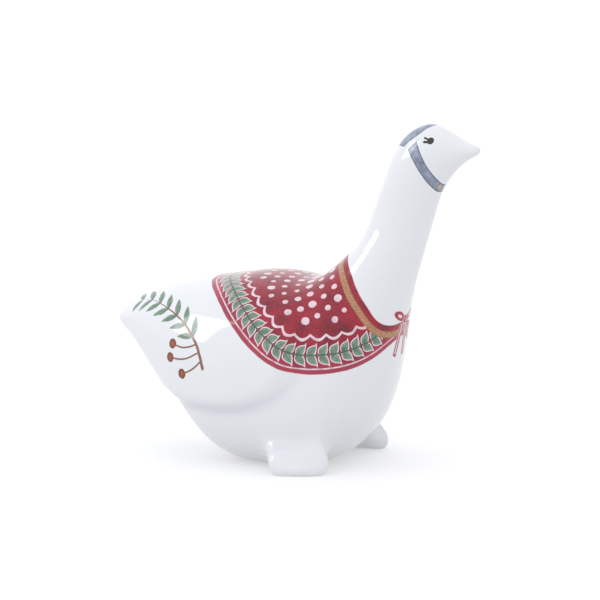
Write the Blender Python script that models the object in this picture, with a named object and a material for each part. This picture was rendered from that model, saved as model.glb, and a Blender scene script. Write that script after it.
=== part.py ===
"""Goose figurine of glazed porcelain, slip-cast hollow in one piece, with a vent hole in its base.

The goose looks along +X, stands on Z = 0 and is the same on both sides of Y = 0.
Its skin is a loft through sections that run from the tail, along the body and up the neck to
the beak. Each section joins a point of the back line to a point of the belly line.
"""

import math
from typing import NamedTuple

import bmesh
import bpy
import numpy as np

MM = 0.001


class Section(NamedTuple):
    """One slice through the goose: two points of its side outline, and its width."""

    back_x: float
    back_z: float
    belly_x: float
    belly_z: float
    half_width: float
    fullness: float  # 2 is an ellipse, and more is squarer


# Body, from the tail to the shoulders. The belly reaches below Z = 0, where it is ground flat.
TAIL_ROUNDING = 1.1 * MM
BODY_HALF_WIDTH = 27.0 * MM
BODY_SECTIONS = (
    # back x, back z, belly x, belly z (mm), share of the body's half width, fullness
    (-55.3, 40.1, -55.0, 36.6, 0.17, 2.0),
    (-53.8, 41.2, -53.0, 35.0, 0.24, 2.1),
    (-51.2, 43.0, -50.4, 33.0, 0.32, 2.2),
    (-47.6, 44.9, -46.6, 29.4, 0.44, 2.3),
    (-42.0, 47.0, -40.6, 22.8, 0.60, 2.4),
    (-34.0, 49.1, -33.3, 14.0, 0.78, 2.4),
    (-25.5, 50.4, -26.0, 5.5, 0.92, 2.4),
    (-16.5, 51.8, -18.0, 0.2, 0.99, 2.4),
    (-7.0, 53.0, -7.5, -1.4, 1.00, 2.4),
    (0.5, 52.7, 4.5, -1.1, 0.98, 2.5),
    (6.0, 53.9, 14.9, 3.4, 0.93, 2.5),
    (10.4, 56.6, 23.2, 12.3, 0.84, 2.2),
    (13.7, 59.9, 27.8, 23.6, 0.71, 2.0),
    (17.4, 63.4, 30.3, 36.0, 0.56, 2.0),
    (20.2, 67.8, 33.2, 50.0, 0.42, 2.0),
)

# Neck, a leaning tube.
NECK_START_X = 30.3 * MM
NECK_START_Z = 70.0 * MM
NECK_LENGTH = 13.5 * MM
NECK_LEAN = math.radians(18.5)
NECK_RADIUS_LOW = 8.7 * MM
NECK_RADIUS_HIGH = 8.4 * MM

# Head and beak, measured from the middle of the neck's upper end.
BEAK_ROUNDING = 1.2 * MM
HEAD_HALF_WIDTH = 8.1 * MM
HEAD_SECTIONS = (
    # back x, back z, belly x, belly z (mm), share of the head's half width, fullness
    (-4.3, 11.3, 9.2, -0.8, 1.00, 2.0),
    (0.1, 15.1, 10.3, 0.8, 0.98, 2.0),
    (5.0, 17.0, 11.7, 2.6, 0.90, 2.0),
    (9.7, 15.1, 13.4, 4.4, 0.74, 2.0),
    (14.0, 12.7, 15.6, 6.2, 0.53, 2.0),
    (17.0, 11.5, 17.4, 7.5, 0.37, 2.0),
    (18.6, 11.0, 18.7, 8.1, 0.28, 2.0),
)

# Feet, flat-soled and turned outwards, each a lobed paddle that grows out of the belly.
FOOT_SPLAY = math.radians(66.0)
FOOT_ROOT_X = 4.4 * MM
FOOT_ROOT_Y = 13.4 * MM
FOOT_REACH = 15.8 * MM
FOOT_WIDTH = 18.4 * MM
FOOT_START = 0.66  # share of the reach at which a foot leaves the belly
FOOT_HEIGHT = 9.0 * MM
TOE_HEIGHT = 4.4 * MM
FOOT_SQUARENESS = 4.0
TOE_LOBE = 0.6 * MM
TOE_DOME = 1.6 * MM
SOLE_TRIM = 0.8 * MM  # ground off the soles when they are made flat

# Wings, folded against the body in low relief. Their outline is drawn in the side view.
WING_MIDDLE_X = -16.0 * MM
WING_MIDDLE_Z = 38.3 * MM
WING_TO_FRONT = 29.5 * MM
WING_TO_TAIL = 45.0 * MM
WING_DROP = 21.5 * MM
WING_RISE = 26.0 * MM
WING_RELIEF = 1.8 * MM
WING_EDGE = 4.4 * MM
WING_STEEPNESS = 0.7  # 1 is an even slope, and less is steeper at the wing's outline
WING_FADE = 0.2  # share of the relief that is gone at the tail
SHOULDER_EDGE = 14.0 * MM  # the slope's width where the wings run into the back and the breast

# The hollow left by slip-casting, and the hole that lets the air out in the kiln.
WALL = 3.0 * MM
VENT_RADIUS = 2.5 * MM
VENT_X = -13.0 * MM

# Mesh density of the loft, before one round of subdivision.
RINGS = 36
RING_POINTS = 24
CAP_RINGS = 2
CAP_START = math.radians(35.0)  # how far round its cap each end already is when it begins
SUBDIVISIONS = 1
CAVITY_RINGS = 24
CAVITY_POINTS = 16
CAVITY_LEAST_RADIUS = 1.2 * MM

GLAZE_WHITE = (0.86, 0.87, 0.89, 1.0)
GLAZE_ROUGHNESS = 0.08


def clear_scene():
    """Remove whatever the file opened with."""
    for obj in list(bpy.data.objects):
        bpy.data.objects.remove(obj)


def neck_sections():
    """The two ends of the neck's tube, square to its leaning axis."""
    along = (math.sin(NECK_LEAN), math.cos(NECK_LEAN))
    made = []
    for step, radius in ((0.0, NECK_RADIUS_LOW), (1.0, NECK_RADIUS_HIGH)):
        x = NECK_START_X + step * NECK_LENGTH * along[0]
        z = NECK_START_Z + step * NECK_LENGTH * along[1]
        across = (radius * along[1], radius * along[0])
        made.append(Section(x - across[0], z + across[1], x + across[0], z - across[1], radius, 2.0))
    return made


def all_sections():
    """Every section from tail to beak, moved so that the goose stands centred on X = 0."""
    body = [
        Section(bx * MM, bz * MM, vx * MM, vz * MM, share * BODY_HALF_WIDTH, full)
        for bx, bz, vx, vz, share, full in BODY_SECTIONS
    ]
    neck = neck_sections()
    head_x = NECK_START_X + NECK_LENGTH * math.sin(NECK_LEAN)
    head_z = NECK_START_Z + NECK_LENGTH * math.cos(NECK_LEAN)
    head = [
        Section(head_x + bx * MM, head_z + bz * MM, head_x + vx * MM, head_z + vz * MM,
                share * HEAD_HALF_WIDTH, full)
        for bx, bz, vx, vz, share, full in HEAD_SECTIONS
    ]
    rows = body + neck + head
    tail_end = (rows[0].back_x + rows[0].belly_x) / 2 - TAIL_ROUNDING
    beak_end = (rows[-1].back_x + rows[-1].belly_x) / 2 + BEAK_ROUNDING
    shift = (tail_end + beak_end) / 2
    return [row._replace(back_x=row.back_x - shift, belly_x=row.belly_x - shift) for row in rows], shift


def spline(knots, rows, at):
    """Natural cubic spline through rows at the given knots, read at the values in at."""
    step = np.diff(knots)
    count = len(knots)
    system = np.eye(count)
    right = np.zeros((count, rows.shape[1]))
    for i in range(1, count - 1):
        system[i, i - 1:i + 2] = step[i - 1], 2 * (step[i - 1] + step[i]), step[i]
        right[i] = 6 * ((rows[i + 1] - rows[i]) / step[i] - (rows[i] - rows[i - 1]) / step[i - 1])
    bend = np.linalg.solve(system, right)
    place = np.clip(np.searchsorted(knots, at) - 1, 0, count - 2)
    before = (knots[place + 1] - at)[:, None]
    after = (at - knots[place])[:, None]
    width = step[place][:, None]
    low, high = bend[place], bend[place + 1]
    return (
        (low * before**3 + high * after**3) / (6 * width)
        + (rows[place] / width - low * width / 6) * before
        + (rows[place + 1] / width - high * width / 6) * after
    )


def smooth_sections(count, inset=0.0):
    """The loft's sections resampled along a smooth curve, drawn in by inset on every side."""
    rows, _ = all_sections()
    table = np.array(rows)
    steps = np.diff(table[:, :4], axis=0)
    mean_step = (np.hypot(steps[:, 0], steps[:, 1]) + np.hypot(steps[:, 2], steps[:, 3])) / 2
    knots = np.concatenate([[0.0], np.cumsum(np.sqrt(mean_step))])
    fine = np.linspace(0.0, knots[-1], 600)
    if inset:
        wide = spline(knots, table, fine)
        height = np.hypot(wide[:, 0] - wide[:, 2], wide[:, 1] - wide[:, 3]) / 2
        room = np.minimum(height, wide[:, 4]) - inset
        inside = fine[room > CAVITY_LEAST_RADIUS]
        at = np.linspace(inside[0], inside[-1], count)
    else:
        at = np.linspace(0.0, knots[-1], count)
    found = spline(knots, table, at)
    down = found[:, 2:4] - found[:, 0:2]
    down /= np.linalg.norm(down, axis=1)[:, None]
    found[:, 0:2] += inset * down
    found[:, 2:4] -= inset * down
    found[:, 4] -= inset
    return found


def ring_points(row, count, scale=1.0, push=(0.0, 0.0)):
    """Points round one section, from the back (first) by the -Y side to the belly and round."""
    back, belly = np.array(row[0:2]), np.array(row[2:4])
    middle = (back + belly) / 2 + np.array(push)
    up = (back - belly) / 2 * scale
    angles = np.arange(count) * 2 * math.pi / count
    power = 2 / row[5]
    rise = np.sign(np.cos(angles)) * np.abs(np.cos(angles)) ** power
    side = -np.sign(np.sin(angles)) * np.abs(np.sin(angles)) ** power * row[4] * scale
    return np.column_stack([middle[0] + rise * up[0], side, middle[1] + rise * up[1]])


def capped_rings(sections, count, tail_depth, beak_depth, swell):
    """All rings of a closed loft, with a rounded cap at each end that ends in one point."""
    rings = []
    ends = ((sections[0], -1.0, tail_depth), (sections[-1], 1.0, beak_depth))
    caps = []
    for row, way, depth in ends:
        across = np.array([row[0] - row[2], row[1] - row[3]])
        across /= np.linalg.norm(across)
        outward = way * np.array([across[1], -across[0]])
        cap = []
        for k in range(1, CAP_RINGS + 1):
            turn = CAP_START + (math.radians(90) - CAP_START) * k / (CAP_RINGS + 1)
            scale = math.cos(turn) / math.cos(CAP_START)
            push = (math.sin(turn) - math.sin(CAP_START)) / (1 - math.sin(CAP_START))
            cap.append(ring_points(row, count, swell * scale, outward * depth * push))
        tip = (np.array(row[0:2]) + np.array(row[2:4])) / 2 + outward * depth
        caps.append((cap, np.array([tip[0], 0.0, tip[1]])))
    rings += caps[0][0][::-1]
    rings += [ring_points(row, count, swell) for row in sections]
    rings += caps[1][0]
    return rings, caps[0][1], caps[1][1]


def squircle(s, t):
    """Round the square from -1 to 1 towards a circle, by the feet's squareness."""
    reach = max(abs(s), abs(t))
    if reach == 0:
        return 0.0, 0.0
    norm = (abs(s) ** FOOT_SQUARENESS + abs(t) ** FOOT_SQUARENESS) ** (1 / FOOT_SQUARENESS)
    return s * reach / norm, t * reach / norm


class Cage:
    """Vertices and four-sided faces of the goose before subdivision."""

    def __init__(self):
        self.points = []
        self.faces = []

    def add(self, point):
        self.points.append(tuple(point))
        return len(self.points) - 1

    def add_foot(self, grid, side, shift):
        """Grow a foot out of a patch of the belly. grid[i][j] are the patch's vertices, rear to
        front and top to bottom, and side is -1 for the -Y foot and 1 for the +Y foot."""
        long, high = len(grid) - 1, len(grid[0]) - 1
        axis = np.array([math.cos(FOOT_SPLAY), side * math.sin(FOOT_SPLAY), 0.0])
        wide = np.array([math.sin(FOOT_SPLAY), -side * math.cos(FOOT_SPLAY), 0.0])
        root = np.array([FOOT_ROOT_X - shift, side * FOOT_ROOT_Y, -SOLE_TRIM])
        edge = (
            [(i, 0) for i in range(long)]
            + [(long, j) for j in range(high)]
            + [(i, high) for i in range(long, 0, -1)]
            + [(0, j) for j in range(high, 0, -1)]
        )

        def place(i, j, out, size):
            s, t = 2 * i / long - 1, 1 - 2 * j / high
            lobe = TOE_LOBE * -math.cos(math.pi * s / 0.6) * (out / FOOT_REACH) ** 2
            if size < 0.9:
                lobe -= TOE_DOME * max(abs(s), abs(t)) ** 2
            s, t = squircle(s, t)
            slope = (1 - out / FOOT_REACH) / (1 - FOOT_START)
            top = TOE_HEIGHT + (FOOT_HEIGHT - TOE_HEIGHT) * slope
            rise = np.array([0.0, 0.0, (1 + t * size) / 2 * (top + SOLE_TRIM)])
            return root + axis * (out + lobe) + wide * s * size * FOOT_WIDTH / 2 + rise

        start = [grid[i][j] for i, j in edge]
        loop = start
        for share, way, size in ((0.55, 0.0, 1.0), (0.9, 0.3, 1.0), (1.0, 0.55, 0.97)):
            ring = []
            out = (FOOT_START + (1 - FOOT_START) * way) * FOOT_REACH
            share = np.array([share, share, math.sqrt(share)])  # it drops faster than it reaches out
            for (i, j), first in zip(edge, start):
                aim = place(i, j, out, size)
                ring.append(self.add(np.array(self.points[first]) * (1 - share) + aim * share))
            self.join(loop, ring, side)
            loop = ring
        end = [[None] * (high + 1) for _ in range(long + 1)]
        for i in range(long + 1):
            for j in range(high + 1):
                end[i][j] = self.add(place(i, j, FOOT_REACH, 0.8))
        self.join(loop, [end[i][j] for i, j in edge], side)
        for i in range(long):
            for j in range(high):
                self.quad([end[i][j], end[i + 1][j], end[i + 1][j + 1], end[i][j + 1]], side)

    def quad(self, face, side):
        self.faces.append(tuple(reversed(face)) if side < 0 else tuple(face))

    def join(self, loop, ring, side):
        count = len(loop)
        for k in range(count):
            after = (k + 1) % count
            self.quad([loop[k], loop[after], ring[after], ring[k]], side)


def goose_cage():
    """The control mesh of the outer skin: the loft, with a foot grown out of each side."""
    sections = smooth_sections(RINGS)
    _, shift = all_sections()
    swell = 3 / (2 + math.cos(2 * math.pi / RING_POINTS))  # subdivision draws a ring in by this
    rings, tail, beak = capped_rings(sections, RING_POINTS, TAIL_ROUNDING, BEAK_ROUNDING, swell)
    cage = Cage()
    index = [[cage.add(point) for point in ring] for ring in rings]
    patches = [foot_patch(rings, side, shift) for side in (-1, 1)]
    taken = {face for patch in patches for face in patch["faces"]}
    for i in range(len(rings) - 1):
        for j in range(RING_POINTS):
            if (i, j) not in taken:
                after = (j + 1) % RING_POINTS
                cage.quad([index[i][j], index[i + 1][j], index[i + 1][after], index[i][after]], -1)
    for tip, ring, side in ((tail, index[0], 1), (beak, index[-1], -1)):
        point = cage.add(tip)
        for j in range(RING_POINTS):
            cage.quad([ring[j], point, ring[(j + 1) % RING_POINTS]], side)
    for patch in patches:
        grid = [[index[i][j % RING_POINTS] for j in patch["round"]] for i in patch["along"]]
        cage.add_foot(grid, patch["side"], shift)
    return cage


def foot_patch(rings, side, shift):
    """The faces of the belly that one foot grows from, found from where its root lies."""
    lowest = RING_POINTS // 2 - 2
    highest = lowest - 2
    middle = highest + 1
    xs = np.array([ring[middle][0] for ring in rings])
    body = np.arange(len(rings)) < len(rings) // 2
    half = FOOT_WIDTH / 2 * math.sin(FOOT_SPLAY)
    centre = FOOT_ROOT_X + FOOT_REACH / 2 * math.cos(FOOT_SPLAY) - shift
    first = int(np.argmin(np.where(body, np.abs(xs - (centre - half)), 1.0)))
    last = int(np.argmin(np.where(body, np.abs(xs - (centre + half)), 1.0)))
    along = list(range(first, last + 1))
    if side < 0:
        around = list(range(highest, lowest + 1))
        faces = {(i, j) for i in along[:-1] for j in around[:-1]}
    else:
        around = [RING_POINTS - j for j in range(highest, lowest + 1)]
        faces = {(i, j) for i in along[:-1] for j in around[1:]}
    return {"side": side, "along": along, "round": around, "faces": faces}


def wing_lift(points, shift):
    """How far the folded wings stand out of the body at each point."""
    dx = points[:, 0] + shift - WING_MIDDLE_X
    dz = points[:, 2] - WING_MIDDLE_Z
    across = np.where(dx > 0, WING_TO_FRONT, WING_TO_TAIL)
    upright = np.where(dz > 0, WING_RISE, WING_DROP)
    reach = np.hypot(dx / across, dz / upright)
    slope = np.hypot(dx / across**2, dz / upright**2) / np.maximum(reach, 1e-6)
    inside = (1 - reach) / np.maximum(slope, 1e-6)
    high = np.clip(2 * dz / WING_RISE, 0.0, 1.0)
    front = np.clip(dx / WING_TO_FRONT, 0.0, 1.0)
    soft = np.maximum(high, front**3)
    width = WING_EDGE + (SHOULDER_EDGE - WING_EDGE) * soft
    t = np.clip(inside / width, 0.0, 1.0) ** (WING_STEEPNESS + (1 - WING_STEEPNESS) * soft)
    fade = 1 - WING_FADE * np.clip(-dx / WING_TO_TAIL, 0.0, 1.0)
    return WING_RELIEF * fade * t * t * (3 - 2 * t)


def subdivided(cage, levels):
    """The cage as a smooth mesh: points, outward normals and faces."""
    mesh = bpy.data.meshes.new("cage")
    mesh.from_pydata(cage.points, [], cage.faces)
    helper = bpy.data.objects.new("cage", mesh)
    bpy.context.scene.collection.objects.link(helper)
    smooth = helper.modifiers.new("smooth", "SUBSURF")
    smooth.levels = levels
    smooth.render_levels = levels
    graph = bpy.context.evaluated_depsgraph_get()
    made = bpy.data.meshes.new_from_object(helper.evaluated_get(graph))
    bpy.data.objects.remove(helper)
    return made


def add_wings(mesh, shift):
    """Raise the wings out of the skin."""
    points = np.array([vertex.co for vertex in mesh.vertices])
    normals = np.array([vertex.normal for vertex in mesh.vertices])
    points += normals * wing_lift(points, shift)[:, None]
    mesh.vertices.foreach_set("co", points.astype(np.float32).ravel())
    mesh.update()


def grind_base(mesh):
    """Cut belly and soles off flat at Z = 0 and close the cuts."""
    shape = bmesh.new()
    shape.from_mesh(mesh)
    bmesh.ops.bisect_plane(
        shape, geom=shape.verts[:] + shape.edges[:] + shape.faces[:],
        plane_co=(0, 0, 0), plane_no=(0, 0, -1), clear_outer=True,
    )
    for face in shape.faces:
        face.smooth = True
    rims = [edge for edge in shape.edges if edge.is_boundary]
    for edge in rims:
        edge.smooth = False
    for face in bmesh.ops.contextual_create(shape, geom=rims)["faces"]:
        face.smooth = False
    shape.to_mesh(mesh)
    shape.free()


def cutter(name, mesh):
    """An object that only cuts: drawn as wire and left out of the render."""
    obj = bpy.data.objects.new(name, mesh)
    bpy.context.scene.collection.objects.link(obj)
    obj.display_type = "WIRE"
    obj.hide_render = True
    return obj


def cavity_mesh():
    """The hollow inside: the same loft drawn in by the wall, with a floor one wall thick."""
    sections = smooth_sections(CAVITY_RINGS, inset=WALL)
    rings, tail, head = capped_rings(
        sections, CAVITY_POINTS, CAVITY_LEAST_RADIUS, CAVITY_LEAST_RADIUS, 1.0
    )
    cage = Cage()
    index = [[cage.add(point) for point in ring] for ring in rings]
    for i in range(len(rings) - 1):
        for j in range(CAVITY_POINTS):
            after = (j + 1) % CAVITY_POINTS
            cage.quad([index[i][j], index[i + 1][j], index[i + 1][after], index[i][after]], -1)
    for tip, ring, side in ((tail, index[0], 1), (head, index[-1], -1)):
        point = cage.add(tip)
        for j in range(CAVITY_POINTS):
            cage.quad([ring[j], point, ring[(j + 1) % CAVITY_POINTS]], side)
    floor = [(x, y, max(z, WALL)) for x, y, z in cage.points]
    mesh = bpy.data.meshes.new("cavity")
    mesh.from_pydata(floor, [], cage.faces)
    return mesh


def vent_mesh(shift):
    """A round pin through the floor of the belly."""
    mesh = bpy.data.meshes.new("vent")
    shape = bmesh.new()
    bmesh.ops.create_cone(
        shape, cap_ends=True, segments=24, radius1=VENT_RADIUS, radius2=VENT_RADIUS, depth=4 * WALL
    )
    bmesh.ops.translate(shape, verts=shape.verts[:], vec=(VENT_X - shift, 0, 0))
    shape.to_mesh(mesh)
    shape.free()
    return mesh


def porcelain():
    """White glazed porcelain."""
    material = bpy.data.materials.new("glazed_porcelain")
    material.use_nodes = True
    surface = material.node_tree.nodes["Principled BSDF"]
    surface.inputs["Base Color"].default_value = GLAZE_WHITE
    surface.inputs["Roughness"].default_value = GLAZE_ROUGHNESS
    surface.inputs["Metallic"].default_value = 0.0
    return material


def cut(obj, tool):
    """Take the tool's shape out of obj."""
    modifier = obj.modifiers.new(f"less_{tool.name}", "BOOLEAN")
    modifier.operation = "DIFFERENCE"
    modifier.solver = "EXACT"
    modifier.object = tool


def build_goose():
    """The whole figurine, as one object."""
    _, shift = all_sections()
    skin = subdivided(goose_cage(), SUBDIVISIONS)
    add_wings(skin, shift)
    grind_base(skin)
    skin.materials.append(porcelain())
    goose = bpy.data.objects.new("goose_figurine", skin)
    bpy.context.scene.collection.objects.link(goose)
    cut(goose, cutter("cavity", cavity_mesh()))
    cut(goose, cutter("vent", vent_mesh(shift)))
    return goose


clear_scene()
build_goose()
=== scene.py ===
"""The looks of a glazed porcelain goose figurine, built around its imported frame.

The goose looks along +X and stands on Z = 0. What is painted on one side of Y = 0 is painted
on the other side too. Sizes are in metres, except where a name or a docstring says millimetres.
"""

import logging
import math
from dataclasses import dataclass, field
from enum import Enum
from typing import NamedTuple

import bmesh
import bpy
import numpy as np
from mathutils import Matrix, Vector
from mathutils.bvhtree import BVHTree


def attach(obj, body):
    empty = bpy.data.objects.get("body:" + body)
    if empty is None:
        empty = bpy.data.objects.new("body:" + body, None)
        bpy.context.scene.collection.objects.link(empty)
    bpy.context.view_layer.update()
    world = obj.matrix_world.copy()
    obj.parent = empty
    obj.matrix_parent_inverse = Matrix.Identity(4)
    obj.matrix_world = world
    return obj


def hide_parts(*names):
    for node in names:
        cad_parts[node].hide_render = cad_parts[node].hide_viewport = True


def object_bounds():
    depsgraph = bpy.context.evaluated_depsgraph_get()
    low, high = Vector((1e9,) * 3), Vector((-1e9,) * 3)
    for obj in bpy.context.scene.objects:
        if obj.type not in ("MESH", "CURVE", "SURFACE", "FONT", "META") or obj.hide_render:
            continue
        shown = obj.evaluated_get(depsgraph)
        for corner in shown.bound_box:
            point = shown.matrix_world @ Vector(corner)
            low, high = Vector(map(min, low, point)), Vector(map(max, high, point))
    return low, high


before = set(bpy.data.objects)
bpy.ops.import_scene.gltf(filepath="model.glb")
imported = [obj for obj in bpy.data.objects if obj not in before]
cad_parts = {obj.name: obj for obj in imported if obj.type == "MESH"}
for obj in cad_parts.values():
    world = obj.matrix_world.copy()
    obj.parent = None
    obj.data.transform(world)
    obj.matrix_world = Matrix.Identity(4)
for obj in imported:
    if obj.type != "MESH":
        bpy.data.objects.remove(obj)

FRAME_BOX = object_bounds()
MM = 0.001
BATCH = 4000  # how many points are compared at once
LOG = logging.getLogger("goose_figurine")

Colour = tuple[float, float, float]
Point = tuple[float, float, float]
Pair = tuple[float, float]


def srgb(red: int, green: int, blue: int) -> Colour:
    """Turn a paint's screen colour, from 0 to 255, into the shader's linear one."""
    shares = (value / 255 for value in (red, green, blue))
    return tuple(v / 12.92 if v <= 0.04045 else ((v + 0.055) / 1.055) ** 2.4 for v in shares)


class Side(Enum):
    """The two sides of the goose."""

    NEAR = -1
    FAR = 1


class Surface(Enum):
    """The material slots of the goose's mesh."""

    GLAZED = 0
    BARE = 1


class Tone(Enum):
    """The paints under the glaze."""

    WHITE = srgb(209, 211, 215)
    # Painted shade: a darker white for the crease under the wing's lower edge.
    CREASE_SHADE = srgb(191, 195, 202)
    CRIMSON = srgb(147, 24, 46)
    MAROON = srgb(98, 12, 30)
    ROSE = srgb(172, 68, 92)
    PALE = srgb(212, 193, 202)
    LEAF = srgb(118, 142, 124)
    DARK_LEAF = srgb(66, 88, 76)
    TAN = srgb(186, 142, 104)
    DARK_TAN = srgb(126, 80, 58)
    BARK = srgb(124, 94, 82)
    RUST = srgb(150, 80, 50)
    DARK_RUST = srgb(92, 44, 30)
    SLATE = srgb(150, 158, 178)
    DARK_SLATE = srgb(84, 90, 112)
    GOLD = srgb(166, 152, 116)
    EYE = srgb(48, 44, 40)


Paint = Tone | bpy.types.NodeSocket


def new_object(name: str, data: bpy.types.ID) -> bpy.types.Object:
    """Put a new object into the scene.

    Args:
        name: The object's name.
        data: Its mesh, lamp or camera.

    Returns:
        The object.
    """
    made = bpy.data.objects.new(name, data)
    bpy.context.scene.collection.objects.link(made)
    return made


def direction(azimuth: float, elevation: float) -> Vector:
    """Work out the way towards a viewer, from its azimuth and elevation in degrees."""
    a, e = math.radians(azimuth), math.radians(elevation)
    return Vector((math.sin(a) * math.cos(e), -math.cos(a) * math.cos(e), math.sin(e)))


class Section(NamedTuple):
    """One slice through the goose: two points of its side outline, and its width."""

    back_x: float
    back_z: float
    belly_x: float
    belly_z: float
    half_width: float
    fullness: float


@dataclass(frozen=True)
class Profile:
    """The sections from tail to beak. The rows are in millimetres, with shares of the width."""

    tail_rounding: float = 1.1 * MM
    body_half_width: float = 27.0 * MM
    body_rows: tuple[tuple[float, ...], ...] = (
        (-55.3, 40.1, -55.0, 36.6, 0.17, 2.0),
        (-53.8, 41.2, -53.0, 35.0, 0.24, 2.1),
        (-51.2, 43.0, -50.4, 33.0, 0.32, 2.2),
        (-47.6, 44.9, -46.6, 29.4, 0.44, 2.3),
        (-42.0, 47.0, -40.6, 22.8, 0.60, 2.4),
        (-34.0, 49.1, -33.3, 14.0, 0.78, 2.4),
        (-25.5, 50.4, -26.0, 5.5, 0.92, 2.4),
        (-16.5, 51.8, -18.0, 0.2, 0.99, 2.4),
        (-7.0, 53.0, -7.5, -1.4, 1.00, 2.4),
        (0.5, 52.7, 4.5, -1.1, 0.98, 2.5),
        (6.0, 53.9, 14.9, 3.4, 0.93, 2.5),
        (10.4, 56.6, 23.2, 12.3, 0.84, 2.2),
        (13.7, 59.9, 27.8, 23.6, 0.71, 2.0),
        (17.4, 63.4, 30.3, 36.0, 0.56, 2.0),
        (20.2, 67.8, 33.2, 50.0, 0.42, 2.0),
    )
    neck_start_x: float = 30.3 * MM
    neck_start_z: float = 70.0 * MM
    neck_length: float = 13.5 * MM
    neck_lean: float = math.radians(18.5)
    neck_radii: tuple[float, float] = (8.7 * MM, 8.4 * MM)
    beak_rounding: float = 1.2 * MM
    head_half_width: float = 8.1 * MM
    head_rows: tuple[tuple[float, ...], ...] = (
        (-4.3, 11.3, 9.2, -0.8, 1.00, 2.0),
        (0.1, 15.1, 10.3, 0.8, 0.98, 2.0),
        (5.0, 17.0, 11.7, 2.6, 0.90, 2.0),
        (9.7, 15.1, 13.4, 4.4, 0.74, 2.0),
        (14.0, 12.7, 15.6, 6.2, 0.53, 2.0),
        (17.0, 11.5, 17.4, 7.5, 0.37, 2.0),
        (18.6, 11.0, 18.7, 8.1, 0.28, 2.0),
    )

    def _neck(self) -> list[Section]:
        """Work out the two ends of the neck's tube, square to its leaning axis.

        Returns:
            The two sections.
        """
        along = (math.sin(self.neck_lean), math.cos(self.neck_lean))
        made = []
        for step, radius in enumerate(self.neck_radii):
            x = self.neck_start_x + step * self.neck_length * along[0]
            z = self.neck_start_z + step * self.neck_length * along[1]
            dx, dz = radius * along[1], radius * along[0]
            made.append(Section(x - dx, z + dz, x + dx, z - dz, radius, 2.0))
        return made

    def sections(self) -> tuple[list[Section], float]:
        """List every section from tail to beak, centred on X = 0.

        Returns:
            The sections, and how far they were moved towards the tail.
        """
        head_x = self.neck_start_x + self.neck_length * math.sin(self.neck_lean)
        head_z = self.neck_start_z + self.neck_length * math.cos(self.neck_lean)
        body = [
            Section(bx * MM, bz * MM, vx * MM, vz * MM, share * self.body_half_width, full)
            for bx, bz, vx, vz, share, full in self.body_rows
        ]
        head = [
            Section(
                head_x + bx * MM, head_z + bz * MM, head_x + vx * MM, head_z + vz * MM,
                share * self.head_half_width, full,
            )
            for bx, bz, vx, vz, share, full in self.head_rows
        ]
        rows = body + self._neck() + head
        tail_end = (rows[0].back_x + rows[0].belly_x) / 2 - self.tail_rounding
        beak_end = (rows[-1].back_x + rows[-1].belly_x) / 2 + self.beak_rounding
        shift = (tail_end + beak_end) / 2
        moved = [r._replace(back_x=r.back_x - shift, belly_x=r.belly_x - shift) for r in rows]
        return moved, shift


def spline(knots: np.ndarray, rows: np.ndarray, at: np.ndarray) -> np.ndarray:
    """Read a natural cubic spline.

    Args:
        knots: Where the spline passes through each row.
        rows: The values at the knots, one row each.
        at: The places to read.

    Returns:
        One row of values for each place.
    """
    step = np.diff(knots)
    count = len(knots)
    system = np.eye(count)
    right = np.zeros((count, rows.shape[1]))
    for i in range(1, count - 1):
        system[i, i - 1:i + 2] = step[i - 1], 2 * (step[i - 1] + step[i]), step[i]
        right[i] = 6 * ((rows[i + 1] - rows[i]) / step[i] - (rows[i] - rows[i - 1]) / step[i - 1])
    bend = np.linalg.solve(system, right)
    place = np.clip(np.searchsorted(knots, at) - 1, 0, count - 2)
    before = (knots[place + 1] - at)[:, None]
    after = (at - knots[place])[:, None]
    width = step[place][:, None]
    low, high = bend[place], bend[place + 1]
    return (
        (low * before**3 + high * after**3) / (6 * width)
        + (rows[place] / width - low * width / 6) * before
        + (rows[place + 1] / width - high * width / 6) * after
    )


@dataclass
class Cage:
    """Vertices and faces of a shape before it is subdivided."""

    points: list[Point] = field(default_factory=list)
    faces: list[tuple[int, ...]] = field(default_factory=list)

    def add(self, point: np.ndarray) -> int:
        """Add a vertex and return its number."""
        self.points.append(tuple(float(value) for value in point))
        return len(self.points) - 1

    def quad(self, face: list[int], side: Side) -> None:
        """Add a face, turned so that it looks outwards on the given side."""
        self.faces.append(tuple(reversed(face)) if side is Side.NEAR else tuple(face))

    def join(self, loop: list[int], ring: list[int], side: Side) -> None:
        """Bridge two closed loops of the same length.

        Args:
            loop: The vertices of the first loop.
            ring: The vertices of the other.
            side: Which side the faces look out of.
        """
        for k, first in enumerate(loop):
            after = (k + 1) % len(loop)
            self.quad([first, loop[after], ring[after], ring[k]], side)

    def mesh(self, name: str) -> bpy.types.Mesh:
        """Turn the cage into a mesh.

        Args:
            name: The mesh's name.

        Returns:
            The mesh.
        """
        made = bpy.data.meshes.new(name)
        made.from_pydata(self.points, [], self.faces)
        return made


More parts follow.
